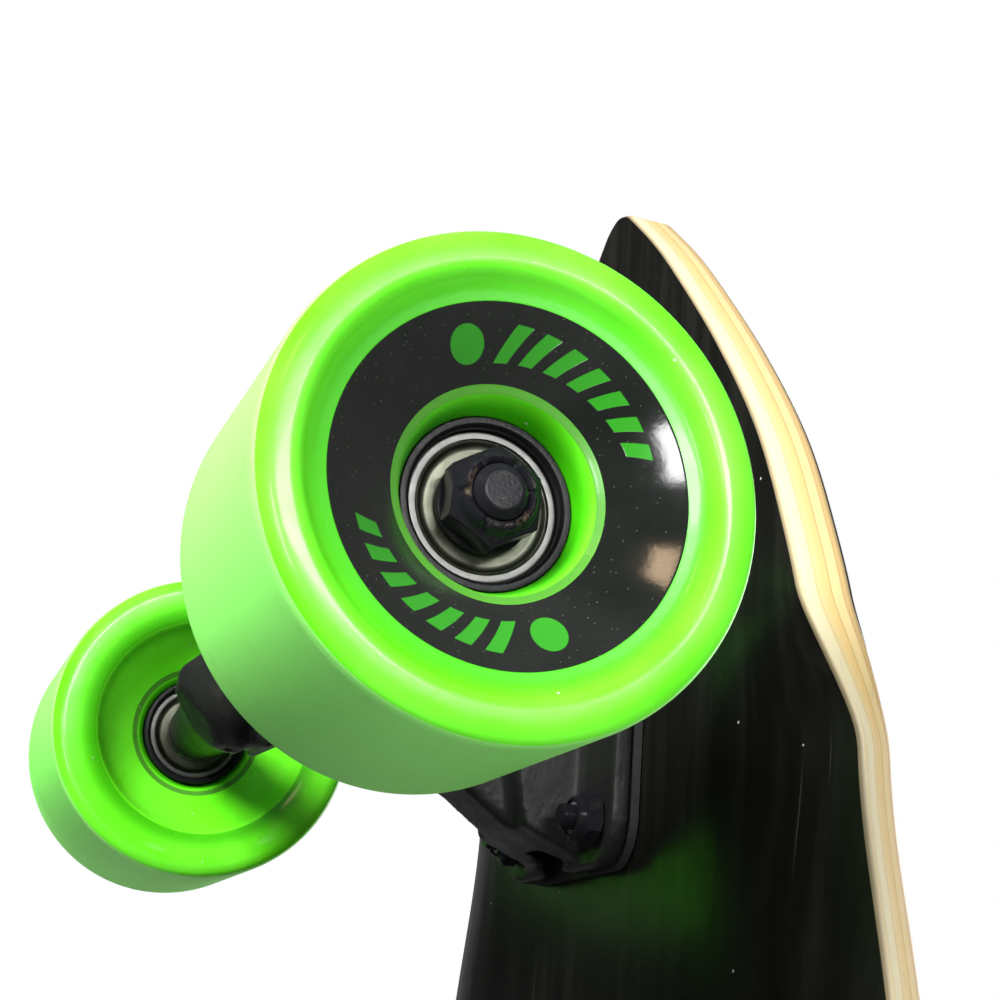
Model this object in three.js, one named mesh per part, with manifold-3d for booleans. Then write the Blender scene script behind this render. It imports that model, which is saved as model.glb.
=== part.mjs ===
// A longboard skateboard: a laminated deck on two reverse-kingpin trucks with four soft wheels.
// Millimetres. +X runs along the board to its nose, +Y to the rider's left, +Z up.
// The origin is on the ground under the middle of the deck.

import * as THREE from 'three';
import { mergeVertices } from 'three/addons/utils/BufferGeometryUtils.js';
import Module from 'manifold-3d';

const wasm = await Module();
wasm.setup();

// ---------------------------------------------------------------- driving dimensions

const GAP = 0.3;

// Board
const BOARD_LENGTH = 1118;
const NOSE_PAST_AXLE = 112.6;
const AXLE_X = BOARD_LENGTH / 2 - NOSE_PAST_AXLE;
const DECK_THICKNESS = 10.5;
const GRIP_THICKNESS = 0.8;
const RAIL_BAND = 39;
const RAIL_ARC_RADIUS = 75;
const RAIL_FULL_PAST_AXLE = -20;
const RAIL_NONE_PAST_AXLE = 7;

// Wheel
const WHEEL_RADIUS = 35.4;
const WHEEL_CENTRE_Y = 104;
const BEARING_RADIUS = 11;
const BEARING_WIDTH = 7;
const SPACER_LENGTH = 10;
const CORE_RADIUS = 12.5;
const CORE_FLANGE_RADIUS = 17;
const CORE_FLANGE_HALF_WIDTH = 5.2;
const CORE_RIM = 1.8;
const CORE_WEB_RADIUS = 7.5;

// Truck, measured from the middle of its axle
const HANGER_HALF_WIDTH = 90;
const WASHER_THICKNESS = 1;
const AXLE_RADIUS = 4;
const AXLE_HALF_LENGTH = 123.9;
const STEER_AXIS_ANGLE = THREE.MathUtils.degToRad(50);
const PIVOT_CENTRE = -11.5;
const RING_CENTRE = 31;
const RING_RADIUS = 15.5;
const RING_HALF_THICKNESS = 4.5;
const RING_HOLE_RADIUS = 7.2;
const KINGPIN_RADIUS = 4.76;
const KINGPIN_SEAT = 21.3;
const KINGPIN_HEAD_RADIUS = 8.1;
const BUSHING_RADIUS = 12.2;
const PLATE_BOTTOM_Z = 59;
const PLATE_TOP_Z = 62.8;
const PLATE_CORNER_RADIUS = 9;
const PLATE_HALF_WIDTH = 28;
const PLATE_INNER_X = -35;
const PLATE_OUTER_X = 36.3;
const DECK_BOTTOM_Z = 65;

// Mounting bolts
const BOLT_RADIUS = 2.4;
const BOLT_HOLE_RADIUS = 2.8;
const BOLT_HEAD_RADIUS = 4.7;
const BOLT_BOTTOM_Z = 51.5;
const BOLT_NUT_HEIGHT = 4.8;
const COUNTERSINK_RADIUS = 5.2;
const BOLT_ROWS_X = [-26, 27.3];
const BOLT_ROWS_Y = [-20.65, 20.65];

// Derived
const INNER_BEARING_Y = HANGER_HALF_WIDTH + WASHER_THICKNESS;
const OUTER_FACE_Y = INNER_BEARING_Y + 2 * BEARING_WIDTH + SPACER_LENGTH;
const BORE_RADIUS = AXLE_RADIUS + GAP;
const THREAD_HOLE_RADIUS = KINGPIN_RADIUS + GAP;
const STEER_AXIS = new THREE.Vector3(Math.cos(STEER_AXIS_ANGLE), 0, Math.sin(STEER_AXIS_ANGLE));
const KINGPIN_AXIS = new THREE.Vector3(Math.sin(STEER_AXIS_ANGLE), 0, -Math.cos(STEER_AXIS_ANGLE));
const RING_POINT = STEER_AXIS.clone().multiplyScalar(RING_CENTRE);
const ORIGIN = new THREE.Vector3();
const UP = new THREE.Vector3(0, 0, 1);

// ---------------------------------------------------------------- materials

const finish = (color, roughness, metalness) => ({ color, roughness, metalness });
const FINISHES = {
  wood: finish(0xe8cf96, 0.45, 0),
  grip: finish(0x1c1c1c, 0.95, 0),
  plastic: finish(0x151515, 0.5, 0),
  urethane: finish(0x62e81e, 0.3, 0),
  blackMetal: finish(0x181a18, 0.4, 0.6),
  steel: finish(0xb8bab6, 0.25, 0.9),
  bushing: finish(0x22bb22, 0.5, 0),
};

// ---------------------------------------------------------------- helpers

function toSolid(geometry) {
  const bare = geometry.clone();
  bare.deleteAttribute('normal');
  bare.deleteAttribute('uv');
  const merged = mergeVertices(bare, 1e-4);
  return new wasm.Manifold(new wasm.Mesh({
    numProp: 3,
    vertProperties: new Float32Array(merged.attributes.position.array),
    triVerts: new Uint32Array(merged.index.array),
  }));
}

function toGeometry(solid) {
  const cut = solid.getMesh();
  const geometry = new THREE.BufferGeometry();
  geometry.setAttribute('position', new THREE.BufferAttribute(cut.vertProperties, 3));
  geometry.setIndex(new THREE.BufferAttribute(cut.triVerts, 1));
  geometry.computeVertexNormals();
  return geometry;
}

// Joins the first list of geometries and cuts the second list from them.
function carve(added, removed) {
  const body = added.map(toSolid).reduce((whole, piece) => whole.add(piece));
  return toGeometry(removed.map(toSolid).reduce((whole, hole) => whole.subtract(hole), body));
}

// A turned solid about +Y. The profile is a list of [radius, height], going up the outside.
function turned(profile, segments) {
  const points = profile.map(([radius, height]) => new THREE.Vector2(radius, height));
  return new THREE.LatheGeometry(points, segments);
}

// A turned ring about +Y: the outside going up, then the inside going down, then closed.
function turnedRing(profile, segments) {
  return turned([...profile, profile[0]], segments);
}

function ring(inner, outer, bottom, top, segments) {
  return turnedRing([[outer, bottom], [outer, top], [inner, top], [inner, bottom]], segments);
}

function rod(radius, bottom, top, segments) {
  return turned([[0, bottom], [radius, bottom], [radius, top], [0, top]], segments);
}

function hexBar(acrossFlats, bottom, top) {
  return rod(acrossFlats / Math.sqrt(3), bottom, top, 6);
}

// Turns a geometry made about +Y so that its axis runs along a direction from a point.
function aim(geometry, direction, point) {
  const turn = new THREE.Quaternion().setFromUnitVectors(new THREE.Vector3(0, 1, 0), direction);
  return geometry.applyQuaternion(turn).translate(point.x, point.y, point.z);
}

const alongSteer = (geometry) => aim(geometry, STEER_AXIS, ORIGIN);
const alongKingpin = (geometry) => aim(geometry, KINGPIN_AXIS, RING_POINT);

// A point in the truck's middle plane from its places along the steering and kingpin axes.
function planePoint(alongSteering, alongPin) {
  return STEER_AXIS.clone().multiplyScalar(alongSteering).addScaledVector(KINGPIN_AXIS, alongPin);
}

// A slab with an outline in the XZ plane, as thick as given and centred on Y = 0.
function sideSlab(points, thickness) {
  const outline = new THREE.Shape(points.map(([x, z]) => new THREE.Vector2(x, z)));
  const slab = new THREE.ExtrudeGeometry(outline, { depth: thickness, bevelEnabled: false });
  return slab.rotateX(Math.PI / 2).translate(0, thickness / 2, 0);
}

// A flat plate with rounded corners, holed for the four mounting bolts.
function boltedPlate(bottom, top) {
  const outline = new THREE.Shape();
  const [left, right] = [PLATE_INNER_X, PLATE_OUTER_X];
  const side = PLATE_HALF_WIDTH;
  const r = PLATE_CORNER_RADIUS;
  outline.absarc(right - r, side - r, r, 0, Math.PI / 2);
  outline.absarc(left + r, side - r, r, Math.PI / 2, Math.PI);
  outline.absarc(left + r, r - side, r, Math.PI, 1.5 * Math.PI);
  outline.absarc(right - r, r - side, r, 1.5 * Math.PI, 2 * Math.PI);
  for (const x of BOLT_ROWS_X) {
    for (const y of BOLT_ROWS_Y) {
      outline.holes.push(new THREE.Path().absarc(x, y, BOLT_HOLE_RADIUS, 0, 2 * Math.PI, true));
    }
  }
  const options = { depth: top - bottom, bevelEnabled: false, curveSegments: 4 };
  return new THREE.ExtrudeGeometry(outline, options).translate(0, 0, bottom);
}

function part(name, geometry, look) {
  const mesh = new THREE.Mesh(geometry, new THREE.MeshStandardMaterial(FINISHES[look]));
  mesh.name = name;
  return mesh;
}

// ---------------------------------------------------------------- deck and grip

// Half of the deck's width, against the distance outboard of the axle, from the tip to the middle.
const DECK_OUTLINE = new THREE.SplineCurve([
  [110, 7.5], [97, 22], [83, 35.5], [62, 54], [40, 70.5], [20, 81], [2, 88], [-14, 89.2],
  [-32, 91.5], [-70, 101], [-140, 113], [-240, 120], [-AXLE_X, 122],
].map(([pastAxle, halfWidth]) => new THREE.Vector2(pastAxle, halfWidth)));
const TIP_POINTS = [[NOSE_PAST_AXLE, 3], [111.1, 5.25]];
const OUTLINE_STEPS = 15;
const OUTLINE_CROWDING = 1.35;
const DECK_COLUMNS = [0, 0.45, 0.66, 0.83, 1];

// The stations from the tip to the middle: [distance outboard of the axle, half width].
// They crowd towards the tip, where the outline turns fastest.
function halfStations() {
  const stations = [...TIP_POINTS];
  for (let step = 0; step <= OUTLINE_STEPS; step += 1) {
    const point = DECK_OUTLINE.getPoint((step / OUTLINE_STEPS) ** OUTLINE_CROWDING);
    stations.push([point.x, point.y]);
  }
  return stations;
}

function deckStations() {
  const nose = halfStations().map(([pastAxle, halfWidth]) => {
    const x = AXLE_X + pastAxle;
    return { x, pastAxle, halfWidth };
  });
  const tail = nose.slice(0, -1).map((station) => ({ ...station, x: -station.x }));
  return [...tail, ...nose.reverse()];
}

// How far the rails stand up: 0 at the nose, and 1 from just inboard of the axle.
function railShare(pastAxle) {
  return 1 - THREE.MathUtils.smoothstep(pastAxle, RAIL_FULL_PAST_AXLE, RAIL_NONE_PAST_AXLE);
}

// A layer of the deck between two heights above the lower face, following the raised rails.
// A box splits its top and its bottom along opposite diagonals, so a layer that lies on another
// is made as a mirror image, and the two faces that meet are split alike.
function deckLayer(lowerHeight, upperHeight, mirrored) {
  const stations = deckStations();
  const columns = [...DECK_COLUMNS.slice(1).reverse().map((share) => -share), ...DECK_COLUMNS];
  const lastStation = stations.length - 1;
  const lastColumn = columns.length - 1;
  const layer = new THREE.BoxGeometry(1, 1, 1, lastStation, lastColumn, 1);
  const position = layer.attributes.position;
  for (let i = 0; i < position.count; i += 1) {
    const station = stations[Math.round((position.getX(i) + 0.5) * lastStation)];
    const { x, pastAxle, halfWidth } = station;
    const share = columns[Math.round((position.getY(i) + 0.5) * lastColumn)];
    const height = position.getZ(i) > 0 ? upperHeight : lowerHeight;
    const side = Math.sign(share) * (mirrored ? -1 : 1);
    const raised = railShare(pastAxle);
    const flatWidth = Math.max(halfWidth - RAIL_BAND, 0);
    const y = Math.abs(share) * halfWidth;
    const intoRail = Math.max(y - flatWidth, 0);
    const tilt = Math.asin(intoRail / RAIL_ARC_RADIUS) * raised;
    const rise = raised * (RAIL_ARC_RADIUS - Math.sqrt(RAIL_ARC_RADIUS ** 2 - intoRail ** 2));
    position.setXYZ(i, x, side * (y - height * Math.sin(tilt)), rise + height * Math.cos(tilt));
  }
  if (mirrored) layer.index.array.reverse();
  return layer.translate(0, 0, WHEEL_RADIUS + DECK_BOTTOM_Z);
}

// Holes for the mounting bolts, from a turned profile about the bolt's axis.
function boltHoles(profile) {
  const holes = [];
  for (const end of [1, -1]) {
    for (const x of BOLT_ROWS_X) {
      for (const y of BOLT_ROWS_Y) {
        const point = new THREE.Vector3(end * (AXLE_X + x), y, WHEEL_RADIUS + DECK_BOTTOM_Z);
        holes.push(aim(turned(profile, 8), UP, point));
      }
    }
  }
  return holes;
}

function deck() {
  const countersink = [
    [0, -5],
    [BOLT_HOLE_RADIUS, -5],
    [BOLT_HOLE_RADIUS, DECK_THICKNESS - 2.9],
    [COUNTERSINK_RADIUS, DECK_THICKNESS],
    [COUNTERSINK_RADIUS, 20],
    [0, 20],
  ];
  const board = deckLayer(0, DECK_THICKNESS, false);
  return part('deck', carve([board], boltHoles(countersink)), 'wood');
}

function gripTape() {
  const bottom = DECK_THICKNESS + GAP;
  const hole = [[0, -5], [COUNTERSINK_RADIUS, -5], [COUNTERSINK_RADIUS, 20], [0, 20]];
  const sheet = deckLayer(bottom, bottom + GRIP_THICKNESS, true);
  return part('grip_tape', carve([sheet], boltHoles(hole)), 'grip');
}

// ---------------------------------------------------------------- wheel

// The tyre's section on its two faces: [radius, distance from the wheel's middle], going outwards.
// The outer face is a printed cone inside a stepped lip, and the inner face is a deeper bowl.
const TYRE_SEAT = [
  [CORE_FLANGE_RADIUS + GAP, CORE_FLANGE_HALF_WIDTH + 0.5],
  [CORE_RADIUS + GAP, CORE_FLANGE_HALF_WIDTH + 1],
  [CORE_RADIUS + GAP, 13],
];
const TYRE_LIP = [[28.5, 25.2], [32.6, 26], [34.6, 25], [WHEEL_RADIUS, 23]];
const TYRE_OUTER_FACE = [...TYRE_SEAT, [14.6, 17.6], [25.45, 23.4], ...TYRE_LIP];
const TYRE_INNER_FACE = [
  ...TYRE_SEAT, [14, 14.4], [19.6, 17], [23.4, 20.6], [25, 24.2], ...TYRE_LIP,
];

function tyre(name) {
  const upper = [...TYRE_OUTER_FACE].reverse();
  const lower = TYRE_INNER_FACE.map(([radius, height]) => [radius, -height]);
  const section = turnedRing([...lower, ...upper], 26).translate(0, WHEEL_CENTRE_Y, 0);
  return part(name, section, 'urethane');
}

// The hub that the tyre is cast around, with a bearing seat in each end and a web between them.
function core(name) {
  const bearingSeat = BEARING_RADIUS + GAP / 2;
  const innerWeb = INNER_BEARING_Y + BEARING_WIDTH + GAP;
  const outerWeb = innerWeb + SPACER_LENGTH - 2 * GAP;
  const innerRim = INNER_BEARING_Y - CORE_RIM;
  const outerRim = OUTER_FACE_Y + CORE_RIM;
  const flangeBottom = WHEEL_CENTRE_Y - CORE_FLANGE_HALF_WIDTH;
  const flangeTop = WHEEL_CENTRE_Y + CORE_FLANGE_HALF_WIDTH;
  const profile = [
    [bearingSeat, innerWeb],
    [bearingSeat, innerRim],
    [CORE_RADIUS, innerRim],
    [CORE_RADIUS, flangeBottom - 0.5],
    [CORE_FLANGE_RADIUS, flangeBottom],
    [CORE_FLANGE_RADIUS, flangeTop],
    [CORE_RADIUS, flangeTop + 0.5],
    [CORE_RADIUS, outerRim],
    [bearingSeat, outerRim],
    [bearingSeat, outerWeb],
    [CORE_WEB_RADIUS, outerWeb],
    [CORE_WEB_RADIUS, innerWeb],
  ];
  return part(name, turnedRing(profile, 14), 'plastic');
}

function bearing(name, innerFaceY) {
  const race = ring(BORE_RADIUS, BEARING_RADIUS - GAP / 2, 0, BEARING_WIDTH, 14);
  return part(name, race.translate(0, innerFaceY, 0), 'steel');
}

function spacer(name) {
  const start = INNER_BEARING_Y + BEARING_WIDTH;
  return part(name, ring(BORE_RADIUS, 5.4, start + GAP, start + SPACER_LENGTH - GAP, 10), 'steel');
}

function axleWasher(name) {
  const start = OUTER_FACE_Y + GAP;
  return part(name, ring(BORE_RADIUS, 7, start, start + WASHER_THICKNESS, 12), 'blackMetal');
}

// A lock nut: a hexagon with a round collar that is squeezed onto the thread.
function axleNut(name) {
  const start = OUTER_FACE_Y + WASHER_THICKNESS + 2 * GAP;
  const hexTop = OUTER_FACE_Y + 6;
  const collarTop = OUTER_FACE_Y + 7.9;
  const pieces = [hexBar(12.7, start, hexTop), rod(5.6, hexTop - 1, collarTop, 12)];
  return part(name, carve(pieces, [rod(BORE_RADIUS, start - 1, collarTop + 1, 12)]), 'blackMetal');
}

function wheelCorner(prefix) {
  const corner = new THREE.Group();
  corner.add(
    tyre(`${prefix}_tyre`),
    core(`${prefix}_core`),
    bearing(`${prefix}_inner_bearing`, INNER_BEARING_Y),
    bearing(`${prefix}_outer_bearing`, OUTER_FACE_Y - BEARING_WIDTH),
    spacer(`${prefix}_spacer`),
    axleWasher(`${prefix}_axle_washer`),
    axleNut(`${prefix}_axle_nut`),
  );
  return corner;
}

// ---------------------------------------------------------------- truck

function axle(name) {
  const end = AXLE_HALF_LENGTH;
  const profile = [
    [0, -end], [2.9, -end], [AXLE_RADIUS, 1.1 - end], [AXLE_RADIUS, end - 1.1], [2.9, end], [0, end],
  ];
  return part(name, turned(profile, 16), 'steel');
}

// The arms swell from the bearing shoulders towards the middle, and are slim over the pivot.
function hangerArms() {
  const end = HANGER_HALF_WIDTH;
  const half = [[7, end], [7, 86], [8.2, 72], [10, 48], [11.5, 28], [10.5, 20], [7.5, 10]];
  const lower = half.map(([radius, y]) => [radius, -y]);
  return turned([[0, -end], ...lower, ...half.reverse(), [0, end]], 16);
}

// The web that narrows from the arms up to the ring round the kingpin.
function hangerYoke() {
  const side = [[30, 0], [30, 3], [14.5, 25], [13, RING_CENTRE]];
  const otherSide = side.map(([y, alongSteering]) => [-y, alongSteering]).reverse();
  const outline = new THREE.Shape([...side, ...otherSide].map((point) => new THREE.Vector2(...point)));
  const depth = 8;
  const web = new THREE.ExtrudeGeometry(outline, { depth, bevelEnabled: false });
  const axes = new THREE.Matrix4().makeBasis(
    new THREE.Vector3(0, 1, 0), STEER_AXIS, new THREE.Vector3(0, 1, 0).cross(STEER_AXIS),
  );
  return web.translate(0, 0, -depth / 2).applyMatrix4(axes);
}

function hangerPivot() {
  const tip = PIVOT_CENTRE;
  const profile = [
    [0, tip - 5.5], [3.6, tip - 4.6], [5.4, tip - 2], [6, tip + 1], [7, -5], [7, 0], [0, 0],
  ];
  return alongSteer(turned(profile, 16));
}

function hanger(name) {
  const seat = alongKingpin(rod(RING_RADIUS, -RING_HALF_THICKNESS, RING_HALF_THICKNESS, 20));
  const hole = alongKingpin(rod(RING_HOLE_RADIUS, -20, 20, 16));
  const bore = rod(BORE_RADIUS, -100, 100, 16);
  return part(name, carve([hangerArms(), hangerYoke(), hangerPivot(), seat], [hole, bore]), 'blackMetal');
}

function pivotCup(name) {
  const tip = PIVOT_CENTRE;
  const profile = [
    [0, tip - 7.6], [7.6, tip - 7.6], [8, tip - 6], [8, tip + 1], [6.4, tip + 1], [5.75, tip - 2.1],
    [3.9, tip - 4.9], [0, tip - 5.8],
  ];
  return part(name, alongSteer(turned(profile, 14)), 'plastic');
}

// The baseplate: a bolted plate, an arm down to the pivot cup and a boss for the kingpin.
function baseplate(name) {
  const seatHigh = planePoint(46, -KINGPIN_SEAT);
  const armFront = [
    planePoint(PIVOT_CENTRE - 3, -12),
    planePoint(PIVOT_CENTRE - 3, -9),
    planePoint(PIVOT_CENTRE + 2, -9),
    planePoint(PIVOT_CENTRE + 3, -11),
    planePoint(7, -11),
    planePoint(15, -16),
    planePoint(16, -KINGPIN_SEAT),
    seatHigh,
  ];
  const inPlate = PLATE_BOTTOM_Z + 1;
  const arm = sideSlab([
    [-33, inPlate], [-27.5, 46], [-20.5, 36], [-18, 12], [-14.5, 3.5],
    ...armFront.map(({ x, z }) => [x, z]),
    [seatHigh.x + 8, inPlate],
  ], 16);
  const shoulder = sideSlab([
    [-33, inPlate], [-27.5, 47], [-12, 44], [4, 45], [18, 51], [24, inPlate],
  ], 27);
  const boss = alongKingpin(rod(14.5, -36, -KINGPIN_SEAT, 18));
  const cupBoss = alongSteer(turned([
    [0, PIVOT_CENTRE - 9.2],
    [7.2, PIVOT_CENTRE - 9.2],
    [10, PIVOT_CENTRE - 6.3],
    [10.2, PIVOT_CENTRE + 1],
    [0, PIVOT_CENTRE + 1],
  ], 20));
  const pinHole = alongKingpin(rod(THREAD_HOLE_RADIUS, -40, 0, 16));
  const headPocket = alongKingpin(rod(KINGPIN_HEAD_RADIUS + 2 * GAP, -80, -29.7, 16));
  const cupPocket = alongSteer(turned([
    [0, PIVOT_CENTRE - 7.9], [7.8, PIVOT_CENTRE - 7.9], [8.3, PIVOT_CENTRE - 6], [8.3, 0], [0, 0],
  ], 20));
  const plate = boltedPlate(PLATE_BOTTOM_Z, PLATE_TOP_Z);
  const pieces = [plate, arm, shoulder, boss, cupBoss];
  return part(name, carve(pieces, [pinHole, headPocket, cupPocket]), 'blackMetal');
}

function kingpin(name) {
  const head = rod(KINGPIN_HEAD_RADIUS, -36, -30, 6);
  const pieces = [head, rod(KINGPIN_RADIUS, -31, 27.5, 16)];
  return part(name, alongKingpin(carve(pieces, [])), 'steel');
}

function kingpinNut(name) {
  const nut = carve([hexBar(14.3, 19.5, 26.3)], [rod(THREAD_HOLE_RADIUS, 0, 40, 16)]);
  return part(name, alongKingpin(nut), 'steel');
}

function bushing(name, profile) {
  return part(name, alongKingpin(turnedRing(profile, 16)), 'bushing');
}

function bushings(end) {
  const bore = THREAD_HOLE_RADIUS;
  const wide = BUSHING_RADIUS;
  const face = RING_HALF_THICKNESS + GAP;
  const barrel = [
    [wide - 0.6, -19], [wide, -18], [wide, -face - 1], [wide - 0.6, -face], [bore, -face], [bore, -19],
  ];
  const cone = [[wide, face], [wide, face + 3], [8.6, 17.4], [bore, 17.4], [bore, face]];
  return [bushing(`${end}_board_bushing`, barrel), bushing(`${end}_road_bushing`, cone)];
}

function bushingWashers(end) {
  const bore = THREAD_HOLE_RADIUS;
  const washer = (radius, bottom, top) => alongKingpin(ring(bore, radius, bottom, top, 14));
  return [
    part(`${end}_board_washer`, washer(13, -KINGPIN_SEAT + GAP, -19.3), 'steel'),
    part(`${end}_road_washer`, washer(10.6, 17.7, 19.2), 'steel'),
  ];
}

function riser(name) {
  return part(name, boltedPlate(PLATE_TOP_Z + GAP, DECK_BOTTOM_Z - GAP), 'plastic');
}

// A countersunk bolt through the deck, with its lock nut wound on under the baseplate.
function mountingBolt(name, x, y) {
  const top = DECK_BOTTOM_Z + DECK_THICKNESS + 0.8;
  const shank = turned([
    [0, BOLT_BOTTOM_Z],
    [BOLT_RADIUS, BOLT_BOTTOM_Z],
    [BOLT_RADIUS, top - 3],
    [BOLT_HEAD_RADIUS, top - 0.4],
    [BOLT_HEAD_RADIUS, top],
    [0, top],
  ], 8);
  const nutTop = PLATE_BOTTOM_Z - GAP;
  const nut = hexBar(9.5, nutTop - BOLT_NUT_HEIGHT, nutTop);
  return part(name, aim(carve([shank, nut], []), UP, new THREE.Vector3(x, y, 0)), 'blackMetal');
}

function mountingBolts(end) {
  const bolts = [];
  BOLT_ROWS_X.forEach((x, row) => {
    BOLT_ROWS_Y.forEach((y, column) => {
      bolts.push(mountingBolt(`${end}_bolt_${2 * row + column + 1}`, x, y));
    });
  });
  return bolts;
}

// One truck with its wheels; its own +Y side has the first name of the pair.
function truck(end, sides) {
  const assembly = new THREE.Group();
  assembly.add(
    baseplate(`${end}_baseplate`),
    pivotCup(`${end}_pivot_cup`),
    kingpin(`${end}_kingpin`),
    kingpinNut(`${end}_kingpin_nut`),
    ...bushings(end),
    ...bushingWashers(end),
    riser(`${end}_riser`),
    ...mountingBolts(end),
    hanger(`${end}_hanger`),
    axle(`${end}_axle`),
  );
  sides.forEach((side, index) => {
    const corner = wheelCorner(`${end}_${side}`);
    corner.rotation.x = index * Math.PI;
    assembly.add(corner);
  });
  return assembly;
}

// ---------------------------------------------------------------- skateboard

const skateboard = new THREE.Group();
skateboard.add(deck(), gripTape());

const frontTruck = truck('front', ['left', 'right']);
frontTruck.position.set(AXLE_X, 0, WHEEL_RADIUS);
skateboard.add(frontTruck);

const rearTruck = truck('rear', ['right', 'left']);
rearTruck.position.set(-AXLE_X, 0, WHEEL_RADIUS);
rearTruck.rotation.z = Math.PI;
skateboard.add(rearTruck);

export default skateboard;
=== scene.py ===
"""The looks of a longboard skateboard: a lacquered laminated deck on two trucks with green wheels.

Metres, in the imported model's frame: +X to the nose, +Y to the rider's left, +Z up.
Profiles are written in millimetres and measured from the middle of an axle.
"""
import math

import bmesh
import bpy
from mathutils import Matrix, Vector


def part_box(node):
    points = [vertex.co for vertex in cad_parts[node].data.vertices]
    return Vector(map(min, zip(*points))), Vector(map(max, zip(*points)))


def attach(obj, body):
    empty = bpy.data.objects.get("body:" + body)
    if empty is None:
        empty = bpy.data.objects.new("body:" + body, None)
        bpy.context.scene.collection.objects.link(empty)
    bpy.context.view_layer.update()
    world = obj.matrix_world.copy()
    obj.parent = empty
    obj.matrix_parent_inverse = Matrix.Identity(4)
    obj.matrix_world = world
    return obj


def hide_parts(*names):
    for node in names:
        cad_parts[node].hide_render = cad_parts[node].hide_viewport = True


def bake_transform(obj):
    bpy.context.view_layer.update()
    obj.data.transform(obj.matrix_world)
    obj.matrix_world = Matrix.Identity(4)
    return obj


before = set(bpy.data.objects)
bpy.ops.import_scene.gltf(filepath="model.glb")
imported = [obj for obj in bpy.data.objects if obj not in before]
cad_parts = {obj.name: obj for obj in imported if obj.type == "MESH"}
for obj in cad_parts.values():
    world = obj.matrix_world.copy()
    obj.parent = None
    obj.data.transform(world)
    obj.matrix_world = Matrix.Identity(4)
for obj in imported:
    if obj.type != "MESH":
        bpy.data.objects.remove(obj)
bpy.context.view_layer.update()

MM = 0.001
ENDS = {"front": 1, "rear": -1}
SIDES = {"left": 1, "right": -1}
TURN_X = Matrix.Rotation(math.pi, 4, "X")
TURN_Z = Matrix.Rotation(math.pi, 4, "Z")
UPRIGHT = Matrix.Rotation(math.pi / 2, 4, "X")
STILL = Matrix.Identity(4)


def axle_middle(end):
    """The middle of one end's axle, from its two tyres."""
    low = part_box(f"{end}_right_tyre")[0]
    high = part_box(f"{end}_left_tyre")[1]
    return (low + high) / 2


def truck_frame(end):
    place = Matrix.Translation(axle_middle(end))
    return place if ENDS[end] > 0 else place @ TURN_Z


def corner_frame(end, side):
    """A frame at the axle's middle whose +Y runs out through this corner's wheel."""
    return truck_frame(end) @ (STILL if ENDS[end] == SIDES[side] else TURN_X)


# ------------------------------------------------------------------ materials


class Number:
    """A number that varies over a surface. Arithmetic on it adds Math nodes."""

    def __init__(self, tree, socket):
        self.tree = tree
        self.socket = socket

    def apply(self, operation, *others):
        node = self.tree.nodes.new("ShaderNodeMath")
        node.operation = operation
        for slot, value in zip(node.inputs, (self, *others)):
            if isinstance(value, Number):
                self.tree.links.new(value.socket, slot)
            else:
                slot.default_value = value
        return Number(self.tree, node.outputs[0])

    def __add__(self, other):
        return self.apply("ADD", other)

    def __sub__(self, other):
        return self.apply("SUBTRACT", other)

    def __mul__(self, other):
        return self.apply("MULTIPLY", other)

    def __truediv__(self, other):
        return self.apply("DIVIDE", other)

    def step(self, start, end):
        """0 below start and 1 above end, or the other way round if end is the lower one."""
        node = self.tree.nodes.new("ShaderNodeMapRange")
        node.interpolation_type = "SMOOTHSTEP"
        self.tree.links.new(self.socket, node.inputs["Value"])
        node.inputs["From Min"].default_value = min(start, end)
        node.inputs["From Max"].default_value = max(start, end)
        node.inputs["To Min"].default_value = 0 if start < end else 1
        node.inputs["To Max"].default_value = 1 if start < end else 0
        return Number(self.tree, node.outputs[0])


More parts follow.
